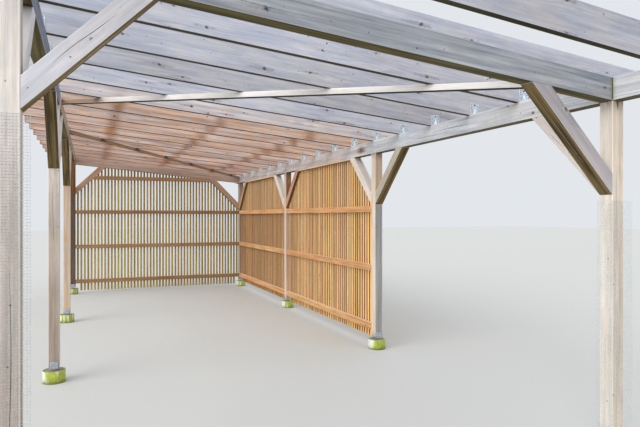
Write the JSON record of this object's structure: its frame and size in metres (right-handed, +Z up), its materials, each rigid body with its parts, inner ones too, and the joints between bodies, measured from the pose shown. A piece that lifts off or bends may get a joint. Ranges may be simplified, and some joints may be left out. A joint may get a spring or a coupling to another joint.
{
  "type": "pergola",
  "caption": "Open post-and-beam timber pergola with a sloping joist roof, knee braces and slatted walls at the rear and along part of one side.",
  "frame": {"origin": "centre of the plan at ground level", "axes": "+Z up, +Y from the open front to the rear wall, +X across the frame towards the low, partly walled side"},
  "size_m": [4.406, 10.348, 2.9979],
  "materials": {
    "weathered_post": "sawn softwood, weathered light grey",
    "weathered_beam": "planed softwood, weathered silver grey",
    "weathered_joist": "planed softwood, silver grey at the front and tan at the rear",
    "brace_timber": "sawn softwood, weathered grey with drying cracks",
    "batten_timber": "sawn softwood batten",
    "rear_slats": "treated softwood, olive yellow",
    "side_slats": "treated softwood, golden tan",
    "galvanised_steel": "galvanised",
    "mesh_wire": "galvanised wire",
    "collar_plastic": "faded yellow-green pipe",
    "clear_pane": "clear flat sheet",
    "concrete": "cast concrete"
  },
  "bodies": {
    "root": {"post_left_1": "weathered_post", "post_left_2": "weathered_post", "post_left_3": "weathered_post", "post_left_4": "weathered_post", "post_right_1": "weathered_post", "post_right_2": "weathered_post", "post_right_3": "weathered_post", "post_right_4": "weathered_post", "side_beam_left_front": "weathered_beam", "side_beam_left_rear": "weathered_beam", "side_beam_right_front": "weathered_beam", "side_beam_right_rear": "weathered_beam", "cross_beam_front": "weathered_beam", "cross_beam_rear": "weathered_beam", "joists": "weathered_joist", "knee_braces_left": "brace_timber", "knee_braces_right": "brace_timber", "knee_braces_front": "brace_timber", "knee_braces_rear": "brace_timber", "wind_brace_front": "batten_timber", "wind_brace_rear": "batten_timber", "right_wall_middle": "side_slats", "right_wall_rear": "side_slats", "rear_wall": "rear_slats", "right_panes_middle": "clear_pane", "right_panes_rear": "clear_pane", "rear_panes": "clear_pane", "joist_brackets_left": "galvanised_steel", "joist_brackets_right": "galvanised_steel", "post_anchors": "galvanised_steel", "footing_collars": "collar_plastic", "footing_cores": "concrete", "climber_mesh_left": "mesh_wire", "climber_mesh_right": "mesh_wire"}
  },
  "joints": []
}
